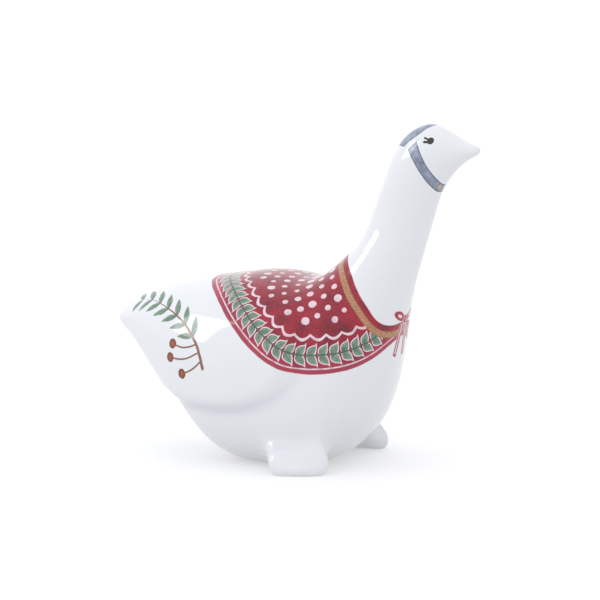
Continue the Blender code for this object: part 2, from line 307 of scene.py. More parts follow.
@dataclass(frozen=True)
class Loft:
    """Rings of vertices through the profile's sections, with a rounded cap at each end."""

    profile: Profile = Profile()
    cap_rings: int = 2
    cap_start: float = math.radians(35.0)
    fine_steps: int = 600

    def resampled(self, count: int, inset: float, least: float) -> np.ndarray:
        """Read the sections at even steps along a smooth curve.

        Args:
            count: How many sections to make.
            inset: How far to draw them in on every side.
            least: The least radius that a drawn-in section may have.

        Returns:
            One section a row.
        """
        table = np.array(self.profile.sections()[0])
        steps = np.diff(table[:, :4], axis=0)
        mean_step = (np.hypot(steps[:, 0], steps[:, 1]) + np.hypot(steps[:, 2], steps[:, 3])) / 2
        knots = np.concatenate([[0.0], np.cumsum(np.sqrt(mean_step))])
        at = np.linspace(0.0, knots[-1], count)
        if inset:
            fine = np.linspace(0.0, knots[-1], self.fine_steps)
            wide = spline(knots, table, fine)
            height = np.hypot(wide[:, 0] - wide[:, 2], wide[:, 1] - wide[:, 3]) / 2
            inside = fine[np.minimum(height, wide[:, 4]) - inset > least]
            at = np.linspace(inside[0], inside[-1], count)
        found = spline(knots, table, at)
        down = found[:, 2:4] - found[:, 0:2]
        down /= np.linalg.norm(down, axis=1)[:, None]
        found[:, 0:2] += inset * down
        found[:, 2:4] -= inset * down
        found[:, 4] -= inset
        return found

    @staticmethod
    def ring(row: np.ndarray, count: int, scale: float, push: np.ndarray) -> np.ndarray:
        """Place points round one section, from the back by the near side to the belly.

        Args:
            row: The section.
            count: How many points to place.
            scale: How far to grow the section about its middle.
            push: How far to move it in the X and Z plane.

        Returns:
            The points, one a row.
        """
        back, belly = row[0:2], row[2:4]
        middle = (back + belly) / 2 + push
        up = (back - belly) / 2 * scale
        turn = np.arange(count) * 2 * math.pi / count
        power = 2 / row[5]
        rise = np.sign(np.cos(turn)) * np.abs(np.cos(turn)) ** power
        side = -np.sign(np.sin(turn)) * np.abs(np.sin(turn)) ** power * row[4] * scale
        return np.column_stack([middle[0] + rise * up[0], side, middle[1] + rise * up[1]])

    def capped(
        self, rows: np.ndarray, count: int, depths: tuple[float, float], swell: float
    ) -> tuple[list[np.ndarray], list[np.ndarray]]:
        """Make all rings of a closed loft.

        Args:
            rows: The sections.
            count: How many points each ring has.
            depths: How far the tail's and the beak's cap stand out.
            swell: How far each ring is grown, to make up for subdivision.

        Returns:
            The rings, and the two end points.
        """
        caps, tips = [], []
        for row, way, depth in ((rows[0], -1.0, depths[0]), (rows[-1], 1.0, depths[1])):
            across = (row[0:2] - row[2:4]) / np.linalg.norm(row[0:2] - row[2:4])
            outward = way * np.array([across[1], -across[0]])
            cap = []
            for k in range(1, self.cap_rings + 1):
                turn = self.cap_start + (math.pi / 2 - self.cap_start) * k / (self.cap_rings + 1)
                scale = math.cos(turn) / math.cos(self.cap_start)
                push = (math.sin(turn) - math.sin(self.cap_start)) / (1 - math.sin(self.cap_start))
                cap.append(self.ring(row, count, swell * scale, outward * depth * push))
            tip = (row[0:2] + row[2:4]) / 2 + outward * depth
            caps.append(cap)
            tips.append(np.array([tip[0], 0.0, tip[1]]))
        middle = [self.ring(row, count, swell, np.zeros(2)) for row in rows]
        return caps[0][::-1] + middle + caps[1], tips

    @staticmethod
    def wrap(
        cage: Cage, rings: list[np.ndarray], tips: list[np.ndarray], taken: set[tuple[int, int]]
    ) -> list[list[int]]:
        """Lay faces over the rings and close both ends.

        Args:
            cage: The cage that takes the vertices and faces.
            rings: The rings, from tail to beak.
            tips: The two end points.
            taken: Faces to leave out, by ring and by place round it.

        Returns:
            The numbers of the rings' vertices.
        """
        index = [[cage.add(point) for point in ring] for ring in rings]
        count = len(index[0])
        for i in range(len(rings) - 1):
            for j in range(count):
                if (i, j) not in taken:
                    after = (j + 1) % count
                    face = [index[i][j], index[i + 1][j], index[i + 1][after], index[i][after]]
                    cage.quad(face, Side.NEAR)
        for tip, ring, side in zip(tips, (index[0], index[-1]), (Side.FAR, Side.NEAR)):
            point = cage.add(tip)
            for j in range(count):
                cage.quad([ring[j], point, ring[(j + 1) % count]], side)
        return index


@dataclass(frozen=True)
class Foot:
    """A flat-soled paddle with rounded toes that grows out of the belly."""

    splay: float = math.radians(66.0)
    root_x: float = 4.4 * MM
    root_y: float = 13.4 * MM
    reach: float = 15.8 * MM
    width: float = 18.4 * MM
    start: float = 0.66
    height: float = 9.0 * MM
    toe_height: float = 4.4 * MM
    squareness: float = 4.0
    toe_lobe: float = 0.6 * MM
    lobe_span: float = 0.6
    toe_dome: float = 1.6 * MM
    sole_trim: float = 0.8 * MM
    patch_height: int = 2
    # For each ring round the foot: its share of the foot's shape, its place along it, its size.
    rings: tuple[tuple[float, ...], ...] = ((0.55, 0.0, 1.0), (0.9, 0.3, 1.0), (1.0, 0.55, 0.97))
    end_size: float = 0.8

    def patch(
        self, rings: list[np.ndarray], side: Side, shift: float
    ) -> tuple[list[int], list[int], set[tuple[int, int]]]:
        """Find the belly faces that the foot grows from.

        Args:
            rings: The loft's rings.
            side: Which foot it is.
            shift: How far the goose was moved along X.

        Returns:
            The rings, the places round them, and the faces between.
        """
        count = len(rings[0])
        lowest = count // 2 - 2
        highest = lowest - self.patch_height
        xs = np.array([ring[highest + 1][0] for ring in rings])
        body = np.arange(len(rings)) < len(rings) // 2
        half = self.width / 2 * math.sin(self.splay)
        centre = self.root_x + self.reach / 2 * math.cos(self.splay) - shift
        ends = [
            int(np.argmin(np.where(body, np.abs(xs - (centre + way * half)), 1.0)))
            for way in (-1, 1)
        ]
        along = list(range(ends[0], ends[1] + 1))
        if side is Side.NEAR:
            around = list(range(highest, lowest + 1))
            faces = {(i, j) for i in along[:-1] for j in around[:-1]}
        else:
            around = [count - j for j in range(highest, lowest + 1)]
            faces = {(i, j) for i in along[:-1] for j in around[1:]}
        return along, around, faces

    def _square(self, s: float, t: float) -> tuple[float, float]:
        """Round the square from -1 to 1 towards a circle.

        Args:
            s: Place from rear to front.
            t: Place from bottom to top.

        Returns:
            The rounded place.
        """
        norm = (abs(s) ** self.squareness + abs(t) ** self.squareness) ** (1 / self.squareness)
        share = max(abs(s), abs(t)) / norm if norm else 0.0
        return s * share, t * share

    def grow(self, cage: Cage, grid: list[list[int]], side: Side, shift: float) -> None:
        """Grow the foot out of a patch of vertices.

        Args:
            cage: The cage that takes the foot.
            grid: The patch's vertices, rear to front and top to bottom.
            side: Which foot it is.
            shift: How far the goose was moved along X.
        """
        long, high = len(grid) - 1, len(grid[0]) - 1
        sign = side.value
        axis = np.array([math.cos(self.splay), sign * math.sin(self.splay), 0.0])
        wide = np.array([math.sin(self.splay), -sign * math.cos(self.splay), 0.0])
        root = np.array([self.root_x - shift, sign * self.root_y, -self.sole_trim])
        edge = [(i, 0) for i in range(long)] + [(long, j) for j in range(high)]
        edge += [(i, high) for i in range(long, 0, -1)] + [(0, j) for j in range(high, 0, -1)]

        def place(i: int, j: int, out: float, size: float) -> np.ndarray:
            """Place one point of the foot's end or of a ring round it.

            Args:
                i: Place along the patch.
                j: Place down the patch.
                out: How far out along the foot.
                size: Share of its full size.

            Returns:
                The point.
            """
            s, t = 2 * i / long - 1, 1 - 2 * j / high
            wave = -math.cos(math.pi * s / self.lobe_span)
            lobe = self.toe_lobe * wave * (out / self.reach) ** 2
            if size <= self.end_size:
                lobe -= self.toe_dome * max(abs(s), abs(t)) ** 2
            s, t = self._square(s, t)
            slope = (1 - out / self.reach) / (1 - self.start)
            top = self.toe_height + (self.height - self.toe_height) * slope
            rise = np.array([0.0, 0.0, (1 + t * size) / 2 * (top + self.sole_trim)])
            return root + axis * (out + lobe) + wide * s * size * self.width / 2 + rise

        start = [grid[i][j] for i, j in edge]
        loop = start
        for share, way, size in self.rings:
            ring = []
            out = (self.start + (1 - self.start) * way) * self.reach
            mix = np.array([share, share, math.sqrt(share)])
            for (i, j), first in zip(edge, start):
                aim = place(i, j, out, size)
                ring.append(cage.add(np.array(cage.points[first]) * (1 - mix) + aim * mix))
            cage.join(loop, ring, side)
            loop = ring
        end = [
            [cage.add(place(i, j, self.reach, self.end_size)) for j in range(high + 1)]
            for i in range(long + 1)
        ]
        cage.join(loop, [end[i][j] for i, j in edge], side)
        for i in range(long):
            for j in range(high):
                cage.quad([end[i][j], end[i + 1][j], end[i + 1][j + 1], end[i][j + 1]], side)


@dataclass(frozen=True)
class Wing:
    """A folded wing, raised a little out of the body inside an outline drawn in the side view."""

    middle_x: float = -16.0 * MM
    middle_z: float = 38.3 * MM
    to_front: float = 29.5 * MM
    to_tail: float = 45.0 * MM
    drop: float = 21.5 * MM
    rise: float = 26.0 * MM
    relief: float = 1.8 * MM
    edge: float = 4.4 * MM
    steepness: float = 0.7
    fade: float = 0.2
    shoulder_edge: float = 14.0 * MM
    crease_place: float = 0.1
    crease_width: float = 0.4

    def _within(self, points: np.ndarray) -> tuple[np.ndarray, np.ndarray]:
        """Find how deep inside the wing's outline points lie.

        Args:
            points: Points of the skin, where the profile has them.

        Returns:
            The distance inside the outline, and how soft the outline is there, from 0 to 1.
        """
        dx = points[:, 0] - self.middle_x
        dz = points[:, 2] - self.middle_z
        across = np.where(dx > 0, self.to_front, self.to_tail)
        upright = np.where(dz > 0, self.rise, self.drop)
        reach = np.hypot(dx / across, dz / upright)
        slope = np.hypot(dx / across**2, dz / upright**2) / np.maximum(reach, 1e-6)
        inside = (1 - reach) / np.maximum(slope, 1e-6)
        high = np.clip(2 * dz / self.rise, 0.0, 1.0)
        return inside, np.maximum(high, np.clip(dx / self.to_front, 0.0, 1.0) ** 3)

    def crease(self, points: np.ndarray) -> np.ndarray:
        """Tell where shade is painted at the foot of the wing's lower edge, from 0 to 1.

        Args:
            points: Points of the skin, where the profile has them.

        Returns:
            The share of painted shade at each point.
        """
        inside, soft = self._within(points)
        off = (inside / self.edge - self.crease_place) / self.crease_width
        return np.exp(-(off**2)) * (1 - soft)

    def lift(self, points: np.ndarray) -> np.ndarray:
        """Work out how far the wing stands out at each point.

        Args:
            points: Points of the skin, where the profile has them.

        Returns:
            The lift at each point.
        """
        inside, soft = self._within(points)
        dx = points[:, 0] - self.middle_x
        width = self.edge + (self.shoulder_edge - self.edge) * soft
        t = np.clip(inside / width, 0.0, 1.0) ** (self.steepness + (1 - self.steepness) * soft)
        relief = self.relief * (1 - self.fade * np.clip(-dx / self.to_tail, 0.0, 1.0))
        return relief * t * t * (3 - 2 * t)


@dataclass(frozen=True)
class Hollow:
    """The space that slip-casting leaves inside, and the vent hole in the base."""

    wall: float = 3.0 * MM
    vent_radius: float = 2.5 * MM
    vent_x: float = -13.0 * MM
    vent_sides: int = 48
    rings: int = 24
    ring_points: int = 16
    least_radius: float = 1.2 * MM

    def cavity(self, loft: Loft) -> bpy.types.Mesh:
        """Make the hollow's shape, with a floor one wall thick.

        Args:
            loft: The loft of the outer skin.

        Returns:
            The cavity's mesh.
        """
        rows = loft.resampled(self.rings, self.wall, self.least_radius)
        depths = (self.least_radius, self.least_radius)
        rings, tips = loft.capped(rows, self.ring_points, depths, 1.0)
        cage = Cage()
        loft.wrap(cage, rings, tips, set())
        cage.points = [(x, y, max(z, self.wall)) for x, y, z in cage.points]
        return cage.mesh("cavity")

    def vent(self, shift: float) -> bpy.types.Mesh:
        """Make a round pin through the floor of the belly.

        Args:
            shift: How far the goose was moved along X.

        Returns:
            The pin's mesh.
        """
        mesh = bpy.data.meshes.new("vent")
        shape = bmesh.new()
        bmesh.ops.create_cone(
            shape, cap_ends=True, segments=self.vent_sides, radius1=self.vent_radius,
            radius2=self.vent_radius, depth=4 * self.wall,
        )
        bmesh.ops.translate(shape, verts=shape.verts[:], vec=(self.vent_x - shift, 0, 0))
        shape.to_mesh(mesh)
        shape.free()
        return mesh


@dataclass(frozen=True)
class GooseForm:
    """The whole casting: skin, feet, wings, ground base and hollow."""

    loft: Loft = Loft()
    foot: Foot = Foot()
    wing: Wing = Wing()
    hollow: Hollow = Hollow()
    rings: int = 36
    ring_points: int = 24
    subdivisions: int = 3

    def _cage(self) -> Cage:
        """Make the control mesh of the outer skin.

        Returns:
            The control mesh.
        """
        _, shift = self.loft.profile.sections()
        rows = self.loft.resampled(self.rings, 0.0, 0.0)
        swell = 3 / (2 + math.cos(2 * math.pi / self.ring_points))
        depths = (self.loft.profile.tail_rounding, self.loft.profile.beak_rounding)
        rings, tips = self.loft.capped(rows, self.ring_points, depths, swell)
        patches = {side: self.foot.patch(rings, side, shift) for side in Side}
        taken = set().union(*(faces for _, _, faces in patches.values()))
        cage = Cage()
        index = self.loft.wrap(cage, rings, tips, taken)
        for side, (along, around, _) in patches.items():
            grid = [[index[i][j % self.ring_points] for j in around] for i in along]
            self.foot.grow(cage, grid, side, shift)
        return cage

    def _smooth(self, mesh: bpy.types.Mesh) -> bpy.types.Mesh:
        """Subdivide the control mesh.

        Args:
            mesh: The control mesh.

        Returns:
            The smooth mesh.
        """
        helper = new_object("cage", mesh)
        smooth = helper.modifiers.new("smooth", "SUBSURF")
        smooth.levels = smooth.render_levels = self.subdivisions
        graph = bpy.context.evaluated_depsgraph_get()
        made = bpy.data.meshes.new_from_object(helper.evaluated_get(graph))
        bpy.data.objects.remove(helper)
        return made

    @staticmethod
    def _fit_width(points: np.ndarray) -> None:
        """Draw the skin in to the frame's width, which its finer faces pass by a hair."""
        widest = np.abs(points[points[:, 2] > 0.0, 1]).max()
        points[:, 1] *= min(1.0, FRAME_BOX[1][1] / widest)

    def _raise_wings(self, mesh: bpy.types.Mesh, shift: float) -> None:
        """Lift the wings out of the skin, and keep it inside the frame.

        Args:
            mesh: The smooth skin.
            shift: How far the goose was moved along X.
        """
        points = np.array([vertex.co for vertex in mesh.vertices])
        normals = np.array([vertex.normal for vertex in mesh.vertices])
        points += normals * self.wing.lift(points + [shift, 0.0, 0.0])[:, None]
        self._fit_width(points)
        mesh.vertices.foreach_set("co", points.astype(np.float32).ravel())
        mesh.update()

    @staticmethod
    def _grind(mesh: bpy.types.Mesh) -> None:
        """Cut belly and soles off flat at Z = 0 and close the cuts.

        Args:
            mesh: The skin, which reaches below the ground.
        """
        shape = bmesh.new()
        shape.from_mesh(mesh)
        bmesh.ops.bisect_plane(
            shape, geom=shape.verts[:] + shape.edges[:] + shape.faces[:],
            plane_co=(0, 0, 0), plane_no=(0, 0, -1), clear_outer=True,
        )
        for face in shape.faces:
            face.smooth = True
        rims = [edge for edge in shape.edges if edge.is_boundary]
        for edge in rims:
            edge.smooth = False
        for face in bmesh.ops.contextual_create(shape, geom=rims)["faces"]:
            face.smooth = False
            face.material_index = Surface.BARE.value
        shape.to_mesh(mesh)
        shape.free()

    @staticmethod
    def _cut(obj: bpy.types.Object, tool: bpy.types.Mesh) -> None:
        """Take a shape out of the object, with bare faces where it was cut.

        Args:
            obj: The object to cut.
            tool: The shape to take out.
        """
        for _ in Surface:
            tool.materials.append(None)
        for face in tool.polygons:
            face.material_index = Surface.BARE.value
            face.use_smooth = True
        helper = new_object(tool.name, tool)
        cut = obj.modifiers.new("cut", "BOOLEAN")
        cut.operation = "DIFFERENCE"
        cut.solver = "EXACT"
        cut.object = helper
        graph = bpy.context.evaluated_depsgraph_get()
        made = bpy.data.meshes.new_from_object(obj.evaluated_get(graph))
        obj.modifiers.clear()
        obj.data = made
        bpy.data.objects.remove(helper)

    def build(self) -> bpy.types.Object:
        """Make the figurine as one closed mesh.

        Returns:
            The object, standing in the frame's place.
        """
        _, shift = self.loft.profile.sections()
        skin = self._smooth(self._cage().mesh("cage"))
        self._raise_wings(skin, shift)
        for _ in Surface:
            skin.materials.append(None)
        self._grind(skin)
        goose = new_object("painted_goose", skin)
        self._cut(goose, self.hollow.cavity(self.loft))
        self._cut(goose, self.hollow.vent(shift))
        goose.data.name = "painted_goose"
        return goose


class Skin:
    """The glazed surface, for finding where a painted point lies on it. Units are millimetres."""

    def __init__(self, mesh: bpy.types.Mesh) -> None:
        """Read the mesh and sort its faces for searching.

        Args:
            mesh: The goose's mesh, in metres.
        """
        shape = bmesh.new()
        shape.from_mesh(mesh)
        bare = [face for face in shape.faces if face.material_index == Surface.BARE.value]
        bmesh.ops.delete(shape, geom=bare, context="FACES")
        self.tree = BVHTree.FromBMesh(shape)
        shape.free()
        count = len(mesh.vertices)
        flat = np.zeros(count * 3)
        mesh.vertices.foreach_get("co", flat)
        self.points = flat.reshape(count, 3) / MM
        self.folded = self.points * [1, 0, 1] + np.abs(self.points) * [0, 1, 0]

    def drop(self, points: np.ndarray) -> tuple[np.ndarray, np.ndarray]:
        """Move points onto the skin.

        Args:
            points: The points, one a row.

        Returns:
            The nearest points of the skin, and the normals there.
        """
        hits = [self.tree.find_nearest(Vector(point) * MM) for point in points]
        return np.array([hit[0] for hit in hits]) / MM, np.array([hit[1] for hit in hits])


class Trace:
    """A painted line that lies on the skin. Units are millimetres."""

    COUNT = 140
    SIDE_COUNT = 36
    SIDE_STEP = 0.5

    def __init__(self, skin: Skin, points: np.ndarray) -> None:
        """Lay the line on the skin through some of its points.

        Args:
            skin: The surface to lie on.
            points: Points of the line on the far side of the goose.
        """
        steps = np.linalg.norm(np.diff(points, axis=0), axis=1)
        knots = np.concatenate([[0.0], np.cumsum(steps)])
        smooth = spline(knots, points, np.linspace(0.0, knots[-1], self.COUNT))
        self.skin = skin
        self.points, self.normals = skin.drop(smooth)
        gaps = np.linalg.norm(np.diff(self.points, axis=0), axis=1)
        self.starts = np.concatenate([[0.0], np.cumsum(gaps)])
        tangents = np.gradient(self.points, axis=0)
        self.tangents = tangents / np.linalg.norm(tangents, axis=1)[:, None]

    @property
    def length(self) -> float:
        """Give the line's length."""
        return float(self.starts[-1])

    def beside(self, distance: float) -> "Trace":
        """Lay another line on the skin beside this one.

        Args:
            distance: How far to the side where measured distances rise.

        Returns:
            The other line.
        """
        points, normals = self.points.copy(), self.normals.copy()
        way = np.cross(self.tangents, normals) * math.copysign(1.0, distance)
        steps = max(1, round(abs(distance) / self.SIDE_STEP))
        for _ in range(steps):
            way -= normals * np.sum(way * normals, axis=1)[:, None]
            way /= np.linalg.norm(way, axis=1)[:, None]
            points, normals = self.skin.drop(points + way * abs(distance) / steps)
            points[:, 1] = np.maximum(points[:, 1], 0.0)
        keep = np.linspace(0, len(points) - 1, self.SIDE_COUNT).round().astype(int)
        return Trace(self.skin, points[keep])

    def evenly(self, step: float, start: float) -> np.ndarray:
        """Place points along the line at even steps."""
        at = np.arange(start, self.length, step)
        return np.column_stack([np.interp(at, self.starts, self.points[:, k]) for k in range(3)])

    def measure(self, points: np.ndarray) -> tuple[np.ndarray, np.ndarray]:
        """Measure where points lie from the line.

        Args:
            points: The points, one a row.

        Returns:
            The signed distance from the line, and how far along the line each point lies.
        """
        first, along = self.points[:-1], np.diff(self.points, axis=0)
        square = np.sum(along**2, axis=1)
        across, reached = np.zeros(len(points)), np.zeros(len(points))
        for begin in range(0, len(points), BATCH):
            some = points[begin:begin + BATCH]
            part = (some @ along.T - np.sum(first * along, axis=1)) / square
            part = np.clip(part, 0.0, 1.0)
            near = np.einsum("ij,jk->ijk", part, along) + first
            far = np.linalg.norm(some[:, None, :] - near, axis=2)
            best = np.argmin(far, axis=1)
            row = np.arange(len(some))
            offset = some - near[row, best]
            left = np.cross(self.tangents[best], self.normals[best])
            sign = np.where(np.sum(offset * left, axis=1) < 0, -1.0, 1.0)
            across[begin:begin + BATCH] = sign * far[row, best]
            share = part[row, best]
            reached[begin:begin + BATCH] = self.starts[best] + share * np.sqrt(square[best])
        return across, reached


def add_node(
    tree: bpy.types.NodeTree, kind: str, inputs: dict[int | str, object], **settings: str
) -> bpy.types.Node:
    """Add a node to a tree of shader nodes.

    Args:
        tree: The tree.
        kind: The node's type.
        inputs: What each of its sockets takes: a field, another socket, a paint or a plain value.
        settings: Its other settings.

    Returns:
        The node.
    """
    node = tree.nodes.new(kind)
    for name, value in settings.items():
        setattr(node, name, value)
    for slot, value in inputs.items():
        if isinstance(value, Field):
            tree.links.new(value.socket, node.inputs[slot])
        elif isinstance(value, bpy.types.NodeSocket):
            tree.links.new(value, node.inputs[slot])
        else:
            plain = (*value.value, 1.0) if isinstance(value, Tone) else value
            node.inputs[slot].default_value = plain
    return node


class Field:
    """A number that varies over the surface, as a socket of a shader's nodes."""

    def __init__(self, tree: bpy.types.NodeTree, socket: bpy.types.NodeSocket) -> None:
        """Wrap a socket."""
        self.tree = tree
        self.socket = socket

    def _math(self, operation: str, *others: "Field | float") -> "Field":
        """Add a math node that works on this number and the others.

        Args:
            operation: The node's operation.
            others: Its other inputs.

        Returns:
            The result.
        """
        inputs = dict(enumerate((self, *others)))
        node = add_node(self.tree, "ShaderNodeMath", inputs, operation=operation)
        return Field(self.tree, node.outputs[0])

    def __add__(self, other: "Field | float") -> "Field":
        """Add."""
        return self._math("ADD", other)

    def __sub__(self, other: "Field | float") -> "Field":
        """Subtract."""
        return self._math("SUBTRACT", other)

    def __mul__(self, other: "Field | float") -> "Field":
        """Multiply."""
        return self._math("MULTIPLY", other)

    def __truediv__(self, other: "Field | float") -> "Field":
        """Divide."""
        return self._math("DIVIDE", other)

    def __neg__(self) -> "Field":
        """Turn the sign."""
        return self._math("MULTIPLY", -1.0)

    def __rsub__(self, other: float) -> "Field":
        """Subtract from a plain number."""
        return self._math("MULTIPLY_ADD", -1.0, other)

    def __abs__(self) -> "Field":
        """Drop the sign."""
        return self._math("ABSOLUTE")

    def fraction(self) -> "Field":
        """Keep what follows the decimal point."""
        return self._math("FRACT")

    def sine(self) -> "Field":
        """Take the sine."""
        return self._math("SINE")

    def least(self, other: "Field | float") -> "Field":
        """Take the lesser of the two."""
        return self._math("MINIMUM", other)

    def most(self, other: "Field | float") -> "Field":
        """Take the greater of the two."""
        return self._math("MAXIMUM", other)

    def between(self, low: float, high: float) -> "Field":
        """Clamp to a range."""
        return self.most(low).least(high)

    def long_side(self, other: "Field") -> "Field":
        """Take the long side of a right-angled triangle with these two short ones."""
        return (self * self + other * other)._math("SQRT")

    def above(self, edge: float, soft: float = 0.14) -> "Field":
        """Make a mask of where the number is above an edge.

        Args:
            edge: The number at the middle of the mask's edge.
            soft: How wide that edge is.

        Returns:
            The mask, from 0 to 1.
        """
        inputs = {"Value": self, "From Min": edge - soft / 2, "From Max": edge + soft / 2}
        node = add_node(self.tree, "ShaderNodeMapRange", inputs, interpolation_type="SMOOTHSTEP")
        return Field(self.tree, node.outputs["Result"])

    def below(self, edge: float, soft: float = 0.14) -> "Field":
        """Make a mask of where the number is below an edge."""
        return 1.0 - self.above(edge, soft)


class Painter:
    """Lays colours over each other inside one material's nodes."""

    def __init__(self, material: bpy.types.Material, ground: Tone) -> None:
        """Start with an even ground colour.

        Args:
            material: The material to paint in.
            ground: The first colour.
        """
        self.tree = material.node_tree
        self.colour: Paint = ground
        inputs = {0: self.tree.nodes.new("ShaderNodeTexCoord").outputs["Object"], "Scale": 1 / MM}
        scaled = add_node(self.tree, "ShaderNodeVectorMath", inputs, operation="SCALE")
        self.place = scaled.outputs[0]
        split = add_node(self.tree, "ShaderNodeSeparateXYZ", {0: self.place})
        self.x, self.y, self.z = (Field(self.tree, socket) for socket in split.outputs)

    def read(self, name: str) -> Field:
        """Read a number that was stored on the mesh."""
        node = add_node(self.tree, "ShaderNodeAttribute", {}, attribute_name=name)
        return Field(self.tree, node.outputs["Fac"])

    def line(self, name: str) -> tuple[Field, Field]:
        """Read how far across and along a painted line the surface lies."""
        return self.read(f"{name}_across"), self.read(f"{name}_along")

    def stretch(self, name: str) -> Field:
        """Make a mask of the surface that lies beside a painted line, and not past its ends."""
        left, along = self.read(f"{name}_end"), self.read(f"{name}_along")
        return left.above(0.12, 0.1) * along.above(0.12, 0.1)

    def marks(self, name: str) -> Field:
        """Read how far the surface lies from the middle of the nearest mark, in its radii.

        Args:
            name: The marks' attribute.

        Returns:
            The distance in radii.
        """
        node = add_node(self.tree, "ShaderNodeAttribute", {}, attribute_name=name)
        inputs = {0: node.outputs["Vector"]}
        length = add_node(self.tree, "ShaderNodeVectorMath", inputs, operation="LENGTH")
        return Field(self.tree, length.outputs["Value"])

    def noise(self, size: float, detail: float = 2.0) -> Field:
        """Make a random number about 0, in patches of a size in millimetres."""
        inputs = {"Vector": self.place, "Scale": 1 / size, "Detail": detail}
        return Field(self.tree, add_node(self.tree, "ShaderNodeTexNoise", inputs).outputs[0]) - 0.5

    def wash(self, size: float, contrast: float, level: float, detail: float = 2.0) -> Field:
        """Make a mask with the uneven strength of a hand-laid wash about a level."""
        return (self.noise(size, detail) * contrast + level).between(0.0, 1.0)

    def mix(self, mask: Field, low: Paint, high: Paint) -> bpy.types.NodeSocket:
        """Mix two paints by a mask and return the colour."""
        inputs = {"Factor": mask, 6: low, 7: high}
        return add_node(self.tree, "ShaderNodeMix", inputs, data_type="RGBA").outputs[2]

    def lay(self, mask: Field, paint: Paint) -> None:
        """Lay a paint over what is there, where the mask covers."""
        self.colour = self.mix(mask, self.colour, paint)

    def cover(self, surface: bpy.types.Node, bumps: Field, height: float) -> None:
        """Give a shader the painted colour and a faintly uneven surface.

        Args:
            surface: The shader's node.
            bumps: Where the surface is high.
            height: How high it is there.
        """
        bump = add_node(self.tree, "ShaderNodeBump", {"Height": bumps, "Distance": height})
        self.tree.links.new(self.colour, surface.inputs["Base Color"])
        self.tree.links.new(bump.outputs["Normal"], surface.inputs["Normal"])


@dataclass(frozen=True)
class Oval:
    """A painted oval, in two coordinates of the surface. In millimetres and degrees."""

    centre: Pair
    radii: Pair
    turn: float = 0.0

    def inside(self, u: Field, v: Field) -> Field:
        """Measure about how far inside the oval the surface lies, below 0 outside.

        Args:
            u: First coordinate.
            v: Second coordinate.

        Returns:
            The distance.
        """
        c, s = math.cos(math.radians(self.turn)), math.sin(math.radians(self.turn))
        du, dv = u - self.centre[0], v - self.centre[1]
        along, across = du * c + dv * s, dv * c - du * s
        return (1.0 - (along / self.radii[0]).long_side(across / self.radii[1])) * min(self.radii)


@dataclass(frozen=True)
class Stroke:
    """A short round-ended brush stroke, in two coordinates of the surface. In millimetres."""

    start: Pair
    end: Pair
    radius: float

    def inside(self, u: Field, v: Field) -> Field:
        """Measure how far inside the stroke the surface lies, below 0 outside.

        Args:
            u: First coordinate.
            v: Second coordinate.

        Returns:
            The distance.
        """
        du, dv = self.end[0] - self.start[0], self.end[1] - self.start[1]
        u, v = u - self.start[0], v - self.start[1]
        along = ((u * du + v * dv) / (du * du + dv * dv)).between(0.0, 1.0)
        return self.radius - (u - along * du).long_side(v - along * dv)


@dataclass(frozen=True)
class LeafPair:
    """A leaf on each side of a stem, repeated along it. In millimetres and degrees."""

    pitch: float
    length: float
    width: float
    lean: float
    start: float
    unevenness: float = 0.22
    outline_width: float = 0.32
    rib_half_width: float = 0.1

    def _inside(self, across: Field, along: Field) -> tuple[Field, Field, Field]:
        """Measure the leaves.

        Args:
            across: Distance from the stem.
            along: Distance along the stem.

        Returns:
            How far inside a leaf the surface lies, how far from its rib, and how far along it.
        """
        u = (along / self.pitch).fraction() * self.pitch - self.start
        v = abs(across)
        c, s = math.cos(math.radians(self.lean)), math.sin(math.radians(self.lean))
        out, off = u * c + v * s, abs(v * c - u * s)
        share = (out / self.length).between(0.0, 1.0)
        half = share * (1.0 - share) * (1.35 - share * 0.7) * (2.0 * self.width)
        return half - off, off, share

    def paint(
        self, brush: Painter, line: tuple[Field, Field], where: Field, outline: Tone | None = None
    ) -> None:
        """Paint the leaves along a line.

        Args:
            brush: The painter.
            line: Distance from the line, and along it.
            where: Where the leaves may be painted.
            outline: The paint round them, if any.
        """
        inside, rib, share = self._inside(*line)
        inside = inside + brush.noise(0.9) * self.unevenness
        if outline is not None:
            brush.lay(where * inside.above(-self.outline_width), outline)
        blend = (share * -0.7 + brush.noise(1.2) * 1.8 + 0.62).between(0.0, 1.0)
        brush.lay(where * inside.above(0.0), brush.mix(blend, Tone.LEAF, Tone.DARK_LEAF))
        vein = inside.above(0.1) * rib.below(self.rib_half_width, 0.12) * share.below(0.8, 0.2)
        brush.lay(where * vein * 0.7, Tone.DARK_LEAF)


class Cloth(NamedTuple):
    """Where the cape is painted."""

    hem: Field
    inward: Field
    outward: Field
    wobble: Field
    whole: Field
    below_cord: Field


